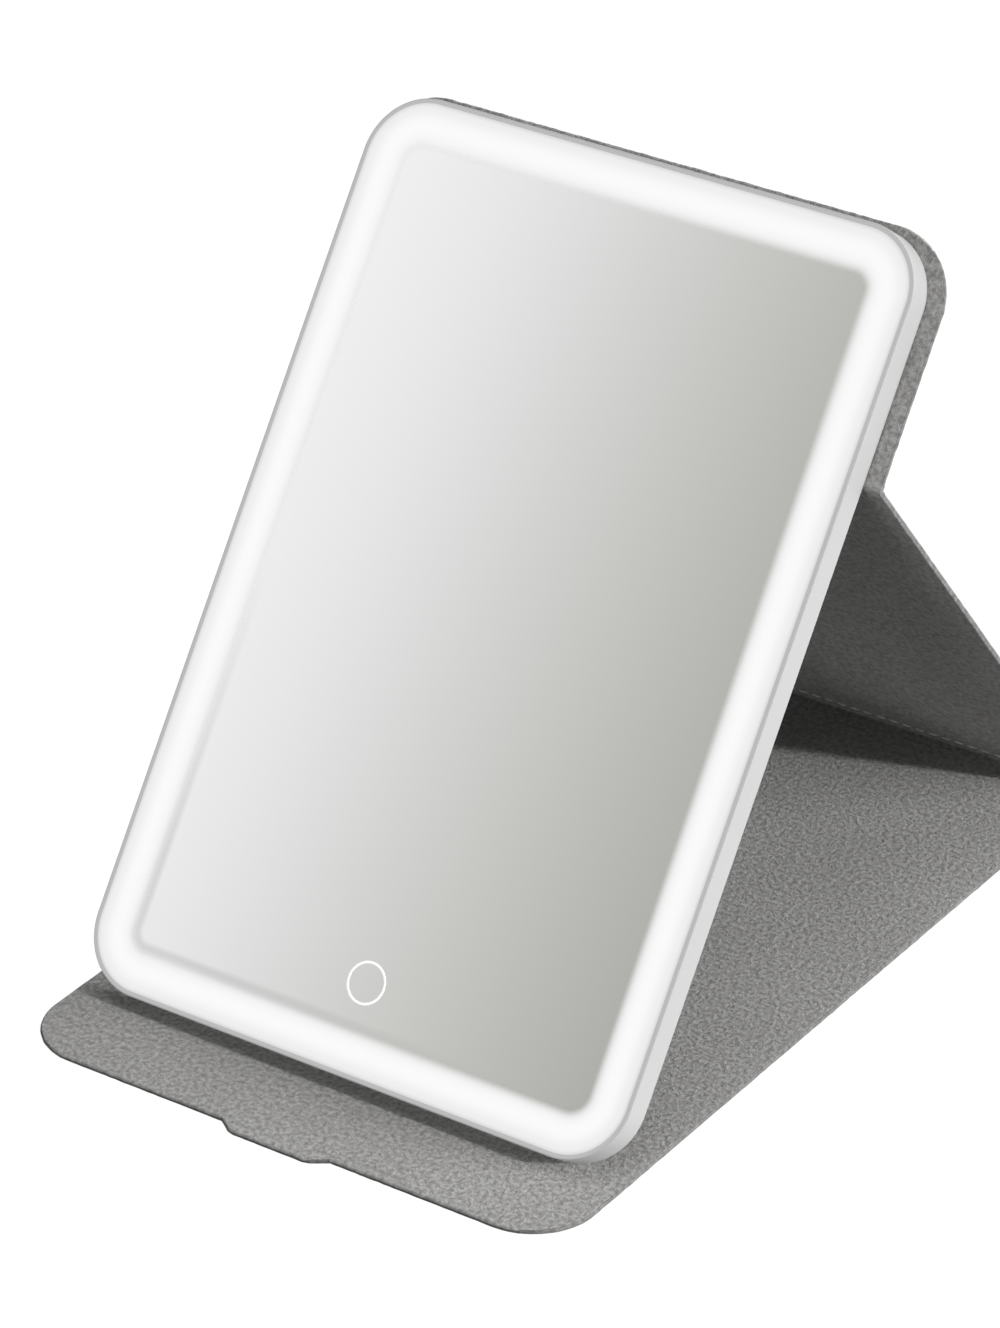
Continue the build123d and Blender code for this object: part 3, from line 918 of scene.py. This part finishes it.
def panel(name, fold_width, free_width, length, corner=0.0, both_folds=False, tab=None,
          turned_end=False, wrap=cloth_wrap, dark_below=looks_up, seed=1):
    """One covered panel, flat, from its fold at y 0 to its free edge, which may be turned over.

    Its rim is rounded by wrap, and gets painted shade where its faces look up less than dark_below
    or look sideways.
    """
    end = length - fold_room if both_folds else length
    piece = start_plane(name, fold_width, end - fold_room, (0, (fold_room + end) / 2, 0))
    choose(piece, "verts", lambda vert: vert.co.y > end - tiny)
    bpy.ops.transform.resize(value=(free_width / fold_width, 1, 1))
    if corner:
        bpy.ops.mesh.bevel(offset=corner, segments=panel_corner_steps, affect="VERTICES")
    if tab:
        add_tab(piece, end, *tab)
    divide_long_edges(piece)
    choose(piece, "verts",
           lambda vert: at_fold < vert.co.y and (vert.co.y < end - tiny or not both_folds))
    bpy.ops.transform.vertex_random(offset=rim_wander, seed=seed)
    choose_all()
    bpy.ops.transform.resize(value=(1, 1, 0))
    extrude_by(0, 0, panel_thickness)
    face_outward()

    def free_rim(edge):
        at_ends = [vert.co.y < at_fold or both_folds and vert.co.y > end - tiny
                   for vert in edge.verts]
        flat = abs(edge.verts[0].co.z - edge.verts[1].co.z) < tiny
        upright = [face for face in edge.link_faces if abs(face.normal.z) < stands_upright]
        return flat and not all(at_ends) and len(upright) == 1

    def rim_in_shade(face):
        rim = abs(face.normal.z) < looks_up and face.center.y > at_fold
        seen_shaded = face.normal.z < dark_below or abs(face.normal.x) > looks_sideways
        goes_on = both_folds and face.center.y > end - tiny
        turned = turned_end and face.center.y > end - turned_reach
        return rim and seen_shaded and not goes_on and not turned

    count = choose(piece, "edges", free_rim)
    bpy.ops.mesh.bevel(offset=wrap, segments=wrap_steps, affect="EDGES")
    end_edit()
    # The rim faces that look down or sideways get painted shade.
    mark_rim_shade(piece, rim_in_shade)
    print(name, "rim edges", count, "faces", len(piece.data.polygons))
    return piece


def mark_rim_shade(piece, test):
    """Marks the faces that get painted shade, for the cloth's finish."""
    attribute = piece.data.attributes.new("cut_edge", "FLOAT", "FACE")
    for face, item in zip(piece.data.polygons, attribute.data):
        item.value = float(test(face))


def add_tab(piece, end, root, tip, reach, round_off):
    """Pulls a short thumb tab out of the middle of the free edge."""
    for side in (-1, 1):
        choose_all()
        bpy.ops.mesh.bisect(plane_co=(side * root / 2, 0, 0), plane_no=(1, 0, 0))
    choose(piece, "edges",
           lambda edge: middle_of(edge).y > end - tiny and abs(middle_of(edge).x) < tiny)
    extrude_by(0, reach, 0)
    bpy.ops.transform.resize(value=(tip / root, 1, 1))
    choose(piece, "verts", lambda vert: vert.co.y > end + reach - tiny)
    bpy.ops.mesh.bevel(offset=round_off, segments=tab_corner_steps, affect="VERTICES")


# %% The four panels
cover_width, cover_corner, cover_overhang = 0.153, 0.017, 0.0017
base_width, base_front, base_corner = 0.147, 0.0284, 0.016
tab_shape = (0.0294, 0.021, 0.003, 0.0015)
upper_length = mirror_height + cover_overhang - crease_height
tablet_bottom = TABLET @ Vector((0, 0, 0))
base_length = spine_fold.y - tablet_bottom.y + base_front
spine_length = foot_fold.y - spine_fold.y
cloth_angle = 40

panels = (
    ("upper_cover", (cover_width, cover_width, upper_length, cover_corner),
     {"turned_end": True, "wrap": soft_wrap}, UPPER, "mirror", ("upper_skin", "upper_lining")),
    ("strut_cover", (base_width, cover_width, strut_length), {"both_folds": True}, STRUT, "strut",
     ("strut_skin", "strut_lining")),
    ("spine_cover", (base_width, base_width, spine_length), {"both_folds": True}, SPINE, "spine",
     ("spine_skin", "spine_lining")),
    ("base_cover", (base_width, base_width, base_length, base_corner),
     {"tab": tab_shape, "wrap": soft_wrap, "dark_below": 0.15}, BASE, "base",
     ("base_skin", "base_lining")),
)
for seed, (name, sizes, options, place, body, nodes) in enumerate(panels, 3):
    piece = panel(name, *sizes, seed=seed, **options)
    set_down(piece, place)
    smooth(piece, cloth_angle)
    wear(piece, cover_cloth)
    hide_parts(*nodes)
    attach(piece, body)

# %% [markdown]
# ## The cloth at the folds
#
# The boards stop short at each fold and the cloth goes on alone. On the outside of the bend it
# rounds the fold as an arc, which is the end of the panel swung about the fold's line. The Spin
# operator makes just that, and turns the other way round from a rotation, so its angle gets a
# minus. A short tongue at each end reaches into the two panels.

# %% Fold cloth
tongue = 0.0012
fold_steps = 14
under_surface = 0.000012
shaded_side = 0.9


def finish_fold(piece, place):
    """Puts fold cloth in its place, with smooth normals and the cover cloth, and puts its place
    into its mesh.
    """
    # The side faces of the fold cloth get painted shade, like the panels' rims.
    mark_rim_shade(piece, lambda face: abs(face.normal.x) > shaded_side)
    set_down(piece, place)
    smooth(piece, cloth_angle)
    wear(piece, cover_cloth)
    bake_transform(piece)
    print(piece.name, "faces", len(piece.data.polygons))


def fold_cloth(name, axis_place, start_angle, turn, width):
    """A wedge of cloth about a fold's line, from one panel's end to the next one's."""
    depth = panel_thickness - under_surface
    piece = start_plane(name, width, depth - under_surface, (0, 0, depth / 2), (math.pi / 2, 0, 0))
    choose_all()
    extrude_by(0, tongue, 0)
    choose(piece, "faces", lambda face: abs(middle_of(face).y) < tiny)
    bpy.ops.mesh.spin(steps=fold_steps, angle=-turn, center=(0, 0, 0), axis=(1, 0, 0))
    swung = Matrix.Rotation(turn, 3, "X") @ Vector((0, -tongue, 0))
    extrude_by(*swung)
    choose_all()
    bpy.ops.mesh.remove_doubles(threshold=tiny)
    face_outward()
    end_edit()
    finish_fold(piece, leaning(axis_place, start_angle))


# %% Crease and foot
quarter = math.pi / 2
crease_turn = math.pi - strut_slope - mirror_tilt
fold_cloth("crease_cloth", crease_fold, mirror_tilt, crease_turn, cover_width)
fold_cloth("foot_cloth", foot_fold, math.pi, math.pi - strut_slope, base_width)

# %% [markdown]
# The fold between the base and the spine lies flat while the mirror stands, so its cloth is a flat
# strip across the line. It is divided into narrow bands, which can round the edge when the spine
# is folded down.

# %% Flat fold of the spine
spine_reach = 0.0016
spine_cloth = start_plane("spine_cloth", base_width, panel_thickness - 2 * under_surface,
                          (0, 0, panel_thickness / 2), (math.pi / 2, 0, 0))
choose_all()
bpy.ops.transform.translate(value=(0, -spine_reach, 0))
for _ in range(fold_steps):
    extrude_by(0, 2 * spine_reach / fold_steps, 0)
face_outward()
end_edit()
finish_fold(spine_cloth, SPINE)

# %% [markdown]
# ## The stitches
#
# A row of stitches holds the strut's two cloths together just above the foot fold. One stitch is a
# short thread that dives into the cloth at both ends: a thin cylinder, divided along its length,
# with its ends drawn in and pushed down. The others are copies of it, and one join makes the row.

# %% Sewing thread
thread_finish, thread_shader, thread_place = new_finish(
    "sewing_thread", (0.66, 0.65, 0.63), roughness=0.8, specular=0.25)
twist = noise(thread_finish, thread_place, per_metre=5200, detail=1.0)
paint(thread_finish, ramp(thread_finish, twist,
                          [(0.3, (0.52, 0.51, 0.50)), (0.7, (0.80, 0.79, 0.77))]))
bump(thread_finish, thread_shader, twist, lift=0.00008, strength=0.6)

# %% One stitch
stitch_length, stitch_pitch, stitch_thread = 0.0026, 0.0037, 0.0004
stitch_up, stitch_margin, stitch_stands_out = 0.0043, 0.004, 0.0001
stitch_count = int((base_width - 2 * stitch_margin) / stitch_pitch) + 1
thread_sides, thread_cuts, thread_angle = 8, 5, 60
stitch_ends = ((0.9, 1.1, 0.45, -0.00014), (0.6, 0.7, 0.85, -0.00004))
half_stitch = stitch_length / 2

deselect()
bpy.ops.mesh.primitive_cylinder_add(
    vertices=thread_sides, radius=stitch_thread / 2, depth=stitch_length,
    rotation=(0, quarter, 0), location=(0, 0, 0))
stitch = named("stitches")
settle()
bpy.ops.object.mode_set(mode="EDIT")
choose(stitch, "edges",
       lambda edge: (edge.verts[0].co - edge.verts[1].co).length > stitch_length - tiny)
bpy.ops.mesh.subdivide(number_cuts=thread_cuts)
for low, high, size, sink in stitch_ends:
    for side in (-1, 1):
        choose(stitch, "verts", lambda vert: low < side * vert.co.x / half_stitch < high)
        bpy.ops.transform.resize(value=(1, size, size))
        bpy.ops.transform.translate(value=(0, 0, sink))
end_edit()
print("one stitch has", len(stitch.data.polygons), "faces")

# %% Stitch row
row = [stitch]
for number in range(1, stitch_count):
    copy = stitch.copy()
    copy.data = stitch.data.copy()
    copy.location.x = number * stitch_pitch
    bpy.context.scene.collection.objects.link(copy)
    row.append(copy)
deselect()
for copy in row:
    copy.select_set(True)
bpy.context.view_layer.objects.active = stitch
bpy.ops.object.join()
half_row = (stitch_count - 1) * stitch_pitch / 2
set_down(stitch, STRUT @ moved(-half_row, stitch_up, panel_thickness + stitch_stands_out))
smooth(stitch, thread_angle)
wear(stitch, thread_finish)
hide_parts("strut_stitches")
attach(stitch, "strut")
print("stitches", stitch_count, "faces", len(stitch.data.polygons))

# %% [markdown]
# ## The studio
#
# The photograph is lit by one low, hard light from the right, which throws the strut's shadow
# across the base. Wide soft lights fill in round it: two low ones from behind on the right, which
# the mirror keeps off the left of the base, one from above, two from the front, and two from under
# the horizon, which stand for what a white table throws back. The lights are left out of
# reflections, because the pane shows a plain white room. That room is the world's background: white
# where the camera or a reflection meets it, and nearly dark as a light, so that the shadows stay.

# %% Lights
def add_sun(name, azimuth, elevation, level, spread):
    """A distant light from a direction; level 1 lights a white card facing it just to white."""
    data = bpy.data.lights.new(name, "SUN")
    data.energy = math.pi * level
    data.angle = math.radians(spread)
    sun = bpy.data.objects.new(name, data)
    bpy.context.scene.collection.objects.link(sun)
    sun.visible_glossy = False
    azimuth, elevation = math.radians(azimuth), math.radians(elevation)
    outward = math.cos(elevation)
    towards = Vector((math.cos(azimuth) * outward, math.sin(azimuth) * outward,
                      math.sin(elevation)))
    sun.rotation_euler = towards.to_track_quat("Z", "Y").to_euler()
    print("light", name, level)


for name, azimuth, elevation, level, spread in (
        ("key", -1.2, 23.6, 0.66, 2.5),
        ("low_right", 25, 12, 0.88, 30),
        ("lower_right", 15, 8, 0.66, 16),
        ("top", 0, 88, 0.35, 50),
        ("front", -90, 35, 0.14, 50),
        ("low_front", -50, 8, 0.11, 16),
        ("table_bounce", -90, -7, 0.13, 12),
        ("side_bounce", -20, -15, 0.03, 20)):
    add_sun(name, azimuth, elevation, level, spread)

# %% The white room
ambient_level, studio_white = 0.012, 1.0
world = bpy.data.worlds.new("studio")
bpy.context.scene.world = world
world.use_nodes = True
background = world.node_tree.nodes["Background"]
background.inputs["Color"].default_value = (1, 1, 1, 1)
world_ray = add_node(world, "LightPath")
brightness = add_node(world, "MapRange")
brightness.inputs["To Min"].default_value = studio_white
brightness.inputs["To Max"].default_value = ambient_level
link(world, world_ray.outputs["Is Diffuse Ray"], brightness.inputs["Value"])
link(world, brightness.outputs["Result"], background.inputs["Strength"])
print("the room is", studio_white, "to the eye and", ambient_level, "as a light")

# %% [markdown]
# The floor is only a thin veil before the white room, so that it stays as pale as in the
# photograph, keeps only a breath of the shadow, and still shows a panel that is folded down past
# the edge of a table. Light that goes on from the floor to the object comes from a faint glow of
# its own, because the lights from under the horizon already give what the table throws back.

# %% Floor
floor_size, floor_drop = 60, 0.00002
floor_grey = (0.8, 0.8, 0.8, 1)
veil_thickness, veil_glow, floor_bounce = 0.06, 0.8, 0.02

deselect()
bpy.ops.mesh.primitive_plane_add(size=floor_size, location=(0, 0, -floor_drop))
floor = bpy.context.object
floor.name = "floor"
floor_paint = bpy.data.materials.new("floor_paint")
floor_paint.use_nodes = True
floor_paint.node_tree.nodes.clear()
clear = add_node(floor_paint, "BsdfTransparent")
matt = add_node(floor_paint, "BsdfDiffuse")
matt.inputs["Color"].default_value = floor_grey
shine = add_node(floor_paint, "Emission")
shine.inputs["Strength"].default_value = veil_glow
veil_paint = add_node(floor_paint, "AddShader")
veil = add_node(floor_paint, "MixShader")
veil.inputs["Fac"].default_value = veil_thickness
bounce = add_node(floor_paint, "Emission")
bounce.inputs["Strength"].default_value = floor_bounce
floor_ray = add_node(floor_paint, "LightPath")
choice = add_node(floor_paint, "MixShader")
output = add_node(floor_paint, "OutputMaterial")
for source, target in (
        (matt.outputs["BSDF"], veil_paint.inputs[0]),
        (shine.outputs["Emission"], veil_paint.inputs[1]),
        (clear.outputs["BSDF"], veil.inputs[1]),
        (veil_paint.outputs["Shader"], veil.inputs[2]),
        (floor_ray.outputs["Is Diffuse Ray"], choice.inputs["Fac"]),
        (veil.outputs["Shader"], choice.inputs[1]),
        (bounce.outputs["Emission"], choice.inputs[2]),
        (choice.outputs["Shader"], output.inputs["Surface"])):
    link(floor_paint, source, target)
wear(floor, floor_paint)
print("floor", floor_size, "m wide, a veil of", veil_thickness)

bpy.context.scene.view_settings.view_transform = "Standard"
